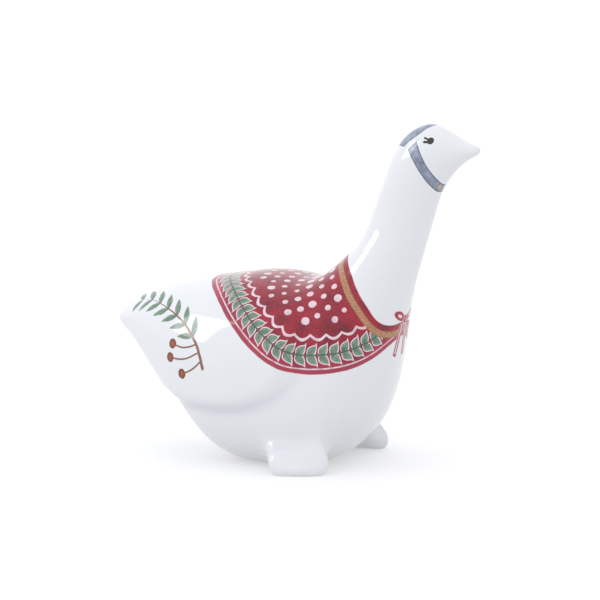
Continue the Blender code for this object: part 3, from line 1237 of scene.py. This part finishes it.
@dataclass(frozen=True)
class Cape:
    """The painted cape: where its hem and neckline run, and its ornament. In millimetres."""

    hem: tuple[Point, ...] = (
        (-25.3, 0.0, 52.0), (-24.3, 8.4, 51.7), (-22.1, 12.9, 50.6), (-17.4, 19.3, 47.9),
        (-12.9, 23.6, 44.2), (-8.7, 26.0, 40.3), (-4.4, 27.2, 36.5), (0.2, 27.6, 33.1),
        (4.2, 27.5, 31.1), (8.3, 26.4, 29.8), (12.3, 24.8, 29.3), (16.3, 23.4, 29.4),
        (20.1, 21.5, 29.8), (23.4, 18.5, 30.5), (25.8, 15.4, 31.6), (28.1, 11.4, 33.3),
        (29.7, 7.9, 35.2), (30.9, 3.6, 37.2), (31.3, 0.0, 38.2),
    )
    neckline: tuple[Point, ...] = (
        (16.6, 0.0, 62.2), (17.3, 4.4, 61.6), (18.4, 8.3, 60.3), (21.4, 12.6, 56.8),
        (23.5, 14.4, 53.4), (25.4, 14.5, 50.1), (26.9, 13.8, 47.5), (28.2, 12.5, 44.8),
        (29.3, 10.6, 43.0), (30.6, 7.6, 42.0), (31.6, 4.2, 42.0), (32.2, 0.0, 43.0),
    )
    hem_line_depth: float = 1.45
    worn_edge: float = 5.0
    cord_depth: float = 2.7
    cord_half_width: float = 0.95
    strand_pitch: float = 0.95
    strand_lean: float = 0.7
    bow_gap: float = 9.5
    bow_least_x: float = 20.0
    garland_depth: float = 5.4
    garland_gap: float = 1.9
    stem_half_width: float = 0.24
    leaves: LeafPair = LeafPair(pitch=3.3, length=3.7, width=2.1, lean=48.0, start=0.55)
    scallop_depth: float = 10.4
    scallop_pitch: float = 4.6
    scallop_height: float = 1.3
    scallop_half_width: float = 0.42
    dot_field_depth: float = 13.6
    dot_rows: int = 8
    dot_row_step: float = 3.7
    dot_first_row: float = 5.9
    dot_pitch: float = 4.1
    dot_radius: float = 1.0
    dot_spread: Pair = (0.72, 1.2)

    def dots(self, neck: Trace, hem: Trace) -> tuple[np.ndarray, np.ndarray]:
        """Set out the dots in staggered rows that follow the neckline.

        Args:
            neck: The neckline.
            hem: The hem.

        Returns:
            The dots' middles and their radii.
        """
        rng = np.random.default_rng(7)
        rows = []
        for k in range(self.dot_rows):
            row = neck.beside(-(self.dot_first_row + k * self.dot_row_step))
            rows.append(row.evenly(self.dot_pitch, self.dot_pitch / 2 if k % 2 else 0.0))
        centres = np.concatenate(rows)
        centres[:, 1] *= centres[:, 1] > self.dot_pitch / 3
        inward, _ = hem.measure(centres)
        centres = centres[inward > self.dot_field_depth]
        return centres, self.dot_radius * rng.uniform(*self.dot_spread, len(centres))

    def _cloth(self, brush: Painter) -> Cloth:
        """Paint the red cloth with its worn edge and the line along its hem.

        Args:
            brush: The material's painter.

        Returns:
            Where the cape is painted.
        """
        hem, wobble = brush.read("hem_across"), brush.noise(3.0)
        inward, outward = hem + wobble * 0.3, -brush.read("neck_across") + wobble * 0.2
        whole = inward.above(0.0, 0.3) * outward.above(0.0, 0.3)
        depth = brush.noise(6.0, 3.0) * 2.6 + brush.noise(0.5, 3.0) * 1.9 + 0.38
        brush.lay(whole, brush.mix(depth.between(0.0, 1.0), Tone.CRIMSON, Tone.MAROON))
        edge = (1.0 - (inward / self.worn_edge).between(0.0, 1.0)) * 0.55
        brush.lay(whole * edge, Tone.ROSE)
        line = abs(inward - self.hem_line_depth).below(0.2, 0.2)
        brush.lay(whole * line * brush.wash(1.6, 1.6, 0.85), Tone.PALE)
        below_cord = whole * outward.above(self.cord_depth + self.cord_half_width - 0.05)
        return Cloth(hem, inward, outward, wobble, whole, below_cord)

    def _scallops_and_dots(self, brush: Painter, cloth: Cloth) -> None:
        """Paint the scalloped line and the field of dots above it.

        Args:
            brush: The material's painter.
            cloth: Where the cape is painted.
        """
        thin = (brush.noise(2.4) * 0.9 + 0.9).between(0.7, 1.0)
        across, along = brush.line("scallop")
        swing = abs((along * (math.pi / self.scallop_pitch)).sine()) * self.scallop_height
        line = abs(across + swing - self.scallop_height / 2 + cloth.wobble * 0.5)
        mask = cloth.below_cord * line.below(self.scallop_half_width, 0.2)
        brush.lay(mask * thin, Tone.PALE)
        dot = brush.marks("dots") + brush.noise(0.9) * 0.35
        dotted = cloth.whole * cloth.inward.above(self.dot_field_depth - 1.4)
        brush.lay(dotted * dot.below(1.0, 0.16) * thin, Tone.PALE)

    def _garland(self, brush: Painter, cloth: Cloth) -> None:
        """Paint paired leaves on a stem along the hem, beside the bow.

        Args:
            brush: The material's painter.
            cloth: Where the cape is painted.
        """
        line = brush.line("garland")
        bow = brush.x.above(self.bow_least_x) * abs(brush.y).below(self.bow_gap)
        place = cloth.below_cord * cloth.hem.above(self.garland_gap) * (1.0 - bow)
        self.leaves.paint(brush, line, place, Tone.PALE)
        stem = abs(line[0] + cloth.wobble * 0.3).below(self.stem_half_width)
        brush.lay(place * stem, Tone.DARK_LEAF)

    def _cord(self, brush: Painter, cloth: Cloth) -> None:
        """Paint a twisted cord below the neckline.

        Args:
            brush: The material's painter.
            cloth: Where the cape is painted.
        """
        cord = abs(cloth.outward - self.cord_depth)
        tan = brush.mix(brush.wash(0.5, 2.0, 0.4, 3.0), Tone.TAN, Tone.DARK_TAN)
        brush.lay(cloth.whole * cord.below(self.cord_half_width), tan)
        along = brush.read("neck_along") + cloth.outward * self.strand_lean
        groove = abs((along / self.strand_pitch).fraction() - 0.5).below(0.12, 0.16)
        brush.lay(cloth.whole * cord.below(0.8) * groove * 0.55, Tone.DARK_TAN)
        brush.lay(cloth.whole * cord.above(0.78) * cord.below(1.0) * 0.6, Tone.DARK_TAN)

    def paint(self, brush: Painter) -> None:
        """Paint the cape: cloth, scallops, dots, garland and neck cord.

        Args:
            brush: The material's painter.
        """
        cloth = self._cloth(brush)
        self._scallops_and_dots(brush, cloth)
        self._garland(brush, cloth)
        self._cord(brush, cloth)


@dataclass(frozen=True)
class Bow:
    """A ribbon bow with two tails on the chest, drawn as one half. In millimetres."""

    least_x: float = 26.0
    reach: float = 9.0
    loop: Oval = Oval((3.4, 44.1), (3.2, 1.3), 24.0)
    knot: Oval = Oval((0.0, 42.9), (1.2, 1.4))
    tail_top: float = 42.6
    tail_gap: float = 0.2
    tail_length: float = 11.6
    tail_half_width: float = 1.05
    tail_start: float = 1.1
    tail_spread: float = 0.17
    tail_cut: float = 0.4
    red_depths: tuple[float, float, float] = (0.74, 0.82, 0.98)

    def paint(self, brush: Painter) -> None:
        """Paint the bow's tails, loops and knot, red with a pale outline.

        Args:
            brush: The material's painter.
        """
        where = brush.x.above(self.least_x) * abs(brush.y).below(self.reach)
        y, z = abs(brush.y), brush.z + brush.noise(1.1) * 0.4
        drop = self.tail_top - z
        tail = self.tail_half_width - abs(y - self.tail_start - drop * self.tail_spread)
        tail = tail.least(drop - self.tail_gap).least(self.tail_length - drop - y * self.tail_cut)
        shapes = (tail, self.loop.inside(y, z), self.knot.inside(y, z))
        for shape, depth in zip(shapes, self.red_depths):
            brush.lay(where * shape.above(-0.1), Tone.PALE)
            brush.lay(where * shape.above(0.1) * shape.below(depth, 0.2), Tone.CRIMSON)


@dataclass(frozen=True)
class HeadBands:
    """The crown, and the cheek strap with its bead. In millimetres."""

    crown: tuple[Point, ...] = (
        (42.2, 0.0, 99.1), (41.5, 2.0, 98.9), (40.4, 3.8, 98.3), (39.2, 4.9, 97.1),
        (38.0, 5.5, 96.3), (36.3, 5.8, 95.1), (34.6, 6.0, 93.3), (33.0, 6.4, 90.4),
    )
    strap: tuple[Point, ...] = (
        (36.4, 5.4, 96.6), (37.2, 6.5, 94.2), (38.0, 7.3, 92.7), (39.6, 8.0, 90.0),
        (41.2, 7.6, 87.2), (42.8, 6.0, 84.3), (43.6, 4.1, 82.6), (43.9, 2.6, 81.8),
        (44.1, 1.2, 81.4), (44.1, 0.0, 81.3),
    )
    least_z: float = 60.0
    crown_least_z: float = 93.2
    strap_cut: Pair = (38.8, 95.4)
    strap_cut_way: Pair = (0.72, 0.69)
    strap_half_width: float = 1.38
    strap_widening: float = 0.07
    strap_widens: Pair = (89.0, 96.0)
    bead: Point = (44.0, -2.5, 81.8)
    bead_radius: float = 0.95

    def paint(self, brush: Painter) -> None:
        """Paint the crown, the cheek strap and its bead.

        Args:
            brush: The material's painter.
        """
        slate = brush.mix(brush.wash(1.4, 1.7, 0.42, 4.0), Tone.SLATE, Tone.DARK_SLATE)
        high = brush.z.above(self.least_z)
        wobble = brush.noise(1.8) * 0.25
        crown = (-brush.read("crown_across") + wobble).least(brush.z - self.crown_least_z + wobble)
        cut_x, cut_z = brush.x - self.strap_cut[0], brush.z - self.strap_cut[1]
        cut = cut_x * self.strap_cut_way[0] - cut_z * self.strap_cut_way[1]
        low, top = self.strap_widens
        wide = (brush.z - low).between(0.0, top - low) * self.strap_widening + self.strap_half_width
        strap = (wide - abs(brush.read("strap_across")) + wobble * 0.6).least(cut)
        for shape, rim, strength in ((crown, 0.32, 0.75), (strap, 0.34, 0.9)):
            brush.lay(high * shape.above(0.0), slate)
            brush.lay(high * shape.above(0.0) * shape.below(rim, 0.3) * strength, Tone.DARK_SLATE)
        off_x, off_y, off_z = brush.x - self.bead[0], brush.y - self.bead[1], brush.z - self.bead[2]
        bead = self.bead_radius - off_x.long_side(off_y).long_side(off_z)
        brush.lay(bead.above(-0.25), Tone.DARK_SLATE)
        brush.lay(bead.above(0.0), Tone.GOLD)


@dataclass(frozen=True)
class Eye:
    """An eye with two lashes on each side of the head, in the side view. In millimetres."""

    least_y: float = 3.0
    least_z: float = 90.0
    ball: Oval = Oval((42.85, 95.35), (0.95, 0.92), -8.0)
    upper_lash: Stroke = Stroke((42.4, 95.6), (40.95, 96.1), 0.25)
    lower_lash: Stroke = Stroke((42.4, 95.0), (41.05, 95.0), 0.34)

    def paint(self, brush: Painter) -> None:
        """Paint the eye on both sides.

        Args:
            brush: The material's painter.
        """
        side = abs(brush.y).above(self.least_y) * brush.z.above(self.least_z)
        shapes = (self.ball, self.upper_lash, self.lower_lash)
        ball, upper, lower = (shape.inside(brush.x, brush.z) for shape in shapes)
        brush.lay(side * ball.most(upper).most(lower).above(0.0, 0.12), Tone.EYE)


@dataclass(frozen=True)
class Sprig:
    """A stem with paired leaves and three berries on each side of the tail. In millimetres."""

    stem: tuple[Point, ...] = (
        (-18.1, 28.1, 29.0), (-20.1, 27.1, 34.5), (-23.6, 24.9, 39.1), (-28.8, 21.3, 42.4),
        (-35.1, 16.7, 44.2), (-42.2, 11.2, 44.4), (-47.4, 8.0, 42.8),
    )
    stalks: tuple[tuple[Point, ...], ...] = (
        ((-21.0, 26.6, 35.8), (-25.0, 26.0, 34.6), (-29.4, 24.2, 35.2)),
        ((-20.0, 27.2, 33.6), (-24.6, 26.5, 31.4), (-30.2, 24.4, 31.2)),
        ((-19.0, 27.8, 31.2), (-22.0, 27.5, 28.6), (-25.6, 26.4, 27.0)),
    )
    leaves: LeafPair = LeafPair(pitch=4.9, length=6.4, width=1.9, lean=42.0, start=0.3)
    leaf_reach: float = 4.9
    bare_pitches: int = 2
    stem_half_width: float = 0.5
    stem_taper: float = 0.012
    stalk_half_width: float = 0.26
    berry_radius: float = 1.45

    def paint(self, brush: Painter) -> None:
        """Paint the stem, its leaves, and three berries on stalks.

        Args:
            brush: The material's painter.
        """
        across, along = brush.line("sprig")
        whole = brush.stretch("sprig")
        leafy = along.above(self.bare_pitches * self.leaves.pitch, 0.1)
        where = leafy * abs(across).below(self.leaf_reach) * whole
        self.leaves.paint(brush, (across, along), where)
        stem = abs(across + brush.noise(2.0) * 0.35) + along * self.stem_taper
        wood = brush.mix(brush.wash(0.7, 2.0, 0.4), Tone.BARK, Tone.DARK_TAN)
        brush.lay(stem.below(self.stem_half_width) * whole, wood)
        for k in range(len(self.stalks)):
            stalk = abs(brush.read(f"stalk_{k}_across") + brush.noise(1.5) * 0.2)
            mask = stalk.below(self.stalk_half_width) * brush.stretch(f"stalk_{k}")
            brush.lay(mask, wood)
        berry = brush.marks("berries") + brush.noise(0.8) * 0.2
        tint = (berry * 1.1 - 0.15 + brush.noise(0.5) * 0.8).between(0.0, 1.0)
        brush.lay(berry.below(1.0, 0.12), brush.mix(tint, Tone.RUST, Tone.DARK_RUST))


@dataclass(frozen=True)
class Paintwork:
    """Writes onto the mesh where each painted line and dot lies, for the glaze to colour."""

    cape: Cape = Cape()
    bands: HeadBands = HeadBands()
    sprig: Sprig = Sprig()

    @staticmethod
    def _write(mesh: bpy.types.Mesh, name: str, values: np.ndarray) -> None:
        """Store one number for each vertex."""
        layer = mesh.attributes.new(name, "FLOAT", "POINT")
        layer.data.foreach_set("value", values.astype(np.float32))

    @staticmethod
    def _write_marks(
        mesh: bpy.types.Mesh, skin: Skin, name: str, centres: np.ndarray, radii: np.ndarray
    ) -> None:
        """Store, for each corner of a face, its way from the mark nearest to the face.

        Args:
            mesh: The goose's mesh.
            skin: The same mesh's points.
            name: The attribute's name.
            centres: The marks' middles.
            radii: The marks' radii, by which the ways are divided.
        """
        loops = np.zeros(len(mesh.loops), np.int32)
        mesh.loops.foreach_get("vertex_index", loops)
        sizes = np.zeros(len(mesh.polygons), np.int32)
        mesh.polygons.foreach_get("loop_total", sizes)
        owner = np.repeat(np.arange(len(sizes)), sizes)
        middles = np.stack(
            [np.bincount(owner, skin.points[loops, k]) / sizes for k in range(3)], axis=1
        )
        flip = np.where(middles[:, 1] < 0, -1.0, 1.0)
        middles[:, 1] *= flip
        best = np.zeros(len(middles), np.int64)
        for begin in range(0, len(middles), BATCH):
            some = middles[begin:begin + BATCH, None, :]
            best[begin:begin + BATCH] = np.argmin(np.sum((some - centres) ** 2, axis=2), axis=1)
        corner = skin.points[loops].copy()
        corner[:, 1] *= flip[owner]
        offset = (corner - centres[best[owner]]) / radii[best[owner]][:, None]
        layer = mesh.attributes.new(name, "FLOAT_VECTOR", "CORNER")
        layer.data.foreach_set("vector", offset.astype(np.float32).ravel())

    def apply(self, goose: bpy.types.Object, form: GooseForm) -> None:
        """Measure the painted lines over the goose's mesh.

        Args:
            goose: The goose, with its final mesh.
            form: The goose's form.
        """
        mesh = goose.data
        skin = Skin(mesh)
        _, shift = form.loft.profile.sections()
        # Where painted shade darkens the crease under the wing's lower edge.
        self._write(mesh, "crease", form.wing.crease(skin.points * MM + [shift, 0.0, 0.0]))
        lines = {
            "hem": self.cape.hem,
            "neck": self.cape.neckline,
            "crown": self.bands.crown,
            "strap": self.bands.strap,
            "sprig": self.sprig.stem,
        }
        lines |= {f"stalk_{k}": stalk for k, stalk in enumerate(self.sprig.stalks)}
        traces = {name: Trace(skin, np.array(points)) for name, points in lines.items()}
        hem, neck = traces["hem"], traces["neck"]
        traces["garland"] = hem.beside(self.cape.garland_depth)
        traces["scallop"] = hem.beside(self.cape.scallop_depth)
        for name, trace in traces.items():
            across, along = trace.measure(skin.folded)
            self._write(mesh, f"{name}_across", across)
            self._write(mesh, f"{name}_along", along)
            self._write(mesh, f"{name}_end", trace.length - along)
            LOG.info("painted line %s is %.1f mm long", name, trace.length)
        self._write_marks(mesh, skin, "dots", *self.cape.dots(neck, hem))
        berries, _ = skin.drop(np.array([stalk[-1] for stalk in self.sprig.stalks]))
        radii = np.full(len(berries), self.sprig.berry_radius)
        self._write_marks(mesh, skin, "berries", berries, radii)


def new_material(name: str) -> tuple[bpy.types.Material, bpy.types.Node]:
    """Make a material and return it with its shader's node.

    Args:
        name: The material's name.

    Returns:
        The material and the node.
    """
    material = bpy.data.materials.new(name)
    material.use_nodes = True
    return material, material.node_tree.nodes["Principled BSDF"]


@dataclass(frozen=True)
class PaintedGlaze:
    """White glazed porcelain, painted under its glaze."""

    name: str = "painted_glaze"
    roughness: float = 0.09
    gloss_patch: float = 12.0
    gloss_spread: float = 0.03
    ior: float = 1.5
    shine: float = 0.42
    # How strongly the painted shade is laid in the crease under the wing.
    crease_shading: float = 0.6
    wave_height: float = 0.010 * MM
    wave_size: float = 9.0
    motifs: tuple[Sprig | Cape | Bow | HeadBands | Eye, ...] = (
        Sprig(), Cape(), Bow(), HeadBands(), Eye(),
    )

    def build(self) -> bpy.types.Material:
        """Make the material.

        Returns:
            The painted glaze.
        """
        material, surface = new_material(self.name)
        surface.inputs["IOR"].default_value = self.ior
        surface.inputs["Specular IOR Level"].default_value = self.shine
        brush = Painter(material, Tone.WHITE)
        # Painted shade along the crease under the wing's lower edge.
        brush.lay(brush.read("crease") * self.crease_shading, Tone.CREASE_SHADE)
        for motif in self.motifs:
            motif.paint(brush)
        gloss = brush.noise(self.gloss_patch) * self.gloss_spread + self.roughness
        material.node_tree.links.new(gloss.socket, surface.inputs["Roughness"])
        brush.cover(surface, brush.noise(self.wave_size, 1.0), self.wave_height)
        return material


@dataclass(frozen=True)
class BareBiscuit:
    """Fired porcelain without glaze, on the ground base and inside."""

    name: str = "bare_biscuit"
    roughness: float = 0.75
    grain_size: float = 0.35
    grain_height: float = 0.03 * MM
    stain_size: float = 5.0

    def build(self) -> bpy.types.Material:
        """Make the material.

        Returns:
            The bare porcelain.
        """
        material, surface = new_material(self.name)
        surface.inputs["Roughness"].default_value = self.roughness
        brush = Painter(material, Tone.WHITE)
        brush.lay((brush.noise(self.stain_size) * 0.6 + 0.3).between(0.0, 0.6), Tone.PALE)
        brush.cover(surface, brush.noise(self.grain_size, 3.0), self.grain_height)
        return material


@dataclass(frozen=True)
class PaintedGoose:
    """The figurine itself: its casting, paint and finishes."""

    form: GooseForm = GooseForm()
    paintwork: Paintwork = Paintwork()
    glaze: PaintedGlaze = PaintedGlaze()
    biscuit: BareBiscuit = BareBiscuit()

    def build(self) -> bpy.types.Object:
        """Make and paint the goose in place of its plain node.

        Returns:
            The finished object.
        """
        goose = self.form.build()
        self.paintwork.apply(goose, self.form)
        goose.data.materials.clear()
        goose.data.materials.append(self.glaze.build())
        goose.data.materials.append(self.biscuit.build())
        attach(goose, "root")
        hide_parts("goose_figurine")
        return goose


@dataclass(frozen=True)
class Softbox:
    """An oblong studio lamp that faces the goose and is seen only in its gloss."""

    name: str
    azimuth: float
    elevation: float
    distance: float
    size: Pair
    power: float

    def build(self, aim: Vector) -> bpy.types.Object:
        """Set the lamp up.

        Args:
            aim: The point that it faces.

        Returns:
            The lamp.
        """
        lamp = bpy.data.lights.new(self.name, "AREA")
        lamp.shape = "RECTANGLE"
        lamp.size, lamp.size_y = self.size
        lamp.energy = self.power
        obj = new_object(self.name, lamp)
        way = direction(self.azimuth, self.elevation)
        obj.location = aim + way * self.distance
        obj.rotation_euler = way.to_track_quat("Z", "Y").to_euler()
        obj.visible_diffuse = False
        return obj


@dataclass(frozen=True)
class Studio:
    """Floor, light and camera."""

    floor_size: float = 8.0
    floor_shade: float = 0.52
    floor_glow: float = 0.37
    floor_roughness: float = 0.9
    sky_tint: Colour = (0.98, 0.985, 1.0)
    sky_bright_way: Point = (-0.66, -0.38, 0.64)
    sky_range: Pair = (-0.6, 0.9)
    sky_dim: float = 1.05
    sky_bright: float = 1.48
    azimuth: float = 24.0
    elevation: float = 9.2
    distance: float = 1.5
    lens: float = 312.75
    sensor_width: float = 36.0
    clip: Pair = (0.05, 50.0)
    aim: Point = (0.0, 0.0, 50.0 * MM)
    slide: Pair = (-0.26 * MM, -3.8 * MM)
    softboxes: tuple[Softbox, ...] = (
        Softbox("window_softbox", -56.0, 30.0, 0.8, (0.36, 0.38), 3.0),
    )

    def _floor(self) -> bpy.types.Object:
        """Lay a plain pale floor.

        Returns:
            The floor.
        """
        mesh = bpy.data.meshes.new("floor")
        half = self.floor_size / 2
        corners = [(-half, -half, 0), (half, -half, 0), (half, half, 0), (-half, half, 0)]
        mesh.from_pydata(corners, [], [(0, 1, 2, 3)])
        material, surface = new_material("pale_floor")
        surface.inputs["Base Color"].default_value = (*[self.floor_shade] * 3, 1.0)
        surface.inputs["Roughness"].default_value = self.floor_roughness
        surface.inputs["Emission Color"].default_value = (1.0, 1.0, 1.0, 1.0)
        surface.inputs["Emission Strength"].default_value = self.floor_glow
        mesh.materials.append(material)
        floor = new_object("floor", mesh)
        return floor

    def _sky(self) -> None:
        """Fill the room with soft white light, brighter from the photograph's window side."""
        world = bpy.data.worlds.new("room")
        world.use_nodes = True
        tree = world.node_tree
        background = tree.nodes["Background"]
        background.inputs["Color"].default_value = (*self.sky_tint, 1.0)
        way = tree.nodes.new("ShaderNodeTexCoord").outputs["Generated"]
        inputs = {0: way, 1: self.sky_bright_way}
        toward = add_node(tree, "ShaderNodeVectorMath", inputs, operation="DOT_PRODUCT")
        names = ("Value", "From Min", "From Max", "To Min", "To Max")
        values = (toward.outputs["Value"], *self.sky_range, self.sky_dim, self.sky_bright)
        strength = add_node(tree, "ShaderNodeMapRange", dict(zip(names, values)))
        tree.links.new(strength.outputs["Result"], background.inputs["Strength"])
        bpy.context.scene.world = world

    def _camera(self) -> bpy.types.Object:
        """Set the camera up at the photograph's angle.

        Returns:
            The camera.
        """
        back = direction(self.azimuth, self.elevation)
        right = direction(self.azimuth + 90.0, 0.0)
        up = back.cross(right)
        place = Vector(self.aim) + back * self.distance + right * self.slide[0] + up * self.slide[1]
        lens = bpy.data.cameras.new("camera")
        lens.lens = self.lens
        lens.sensor_width = self.sensor_width
        lens.clip_start, lens.clip_end = self.clip
        camera = new_object("camera", lens)
        turn = Matrix((right, up, back)).transposed().to_4x4()
        camera.matrix_world = Matrix.Translation(place) @ turn
        bpy.context.scene.camera = camera
        return camera

    def build(self) -> None:
        """Set everything up."""
        self._floor()
        self._sky()
        for box in self.softboxes:
            box.build(Vector(self.aim))
        self._camera()
        bpy.context.scene.view_settings.view_transform = "Standard"


def main() -> None:
    """Build the goose and its studio."""
    logging.basicConfig(level=logging.INFO, format="%(name)s: %(message)s")
    goose = PaintedGoose().build()
    LOG.info("%s has %d faces", goose.name, len(goose.data.polygons))
    Studio().build()
    LOG.info("floor, lamps and camera stand")


if __name__ == "__main__":
    main()
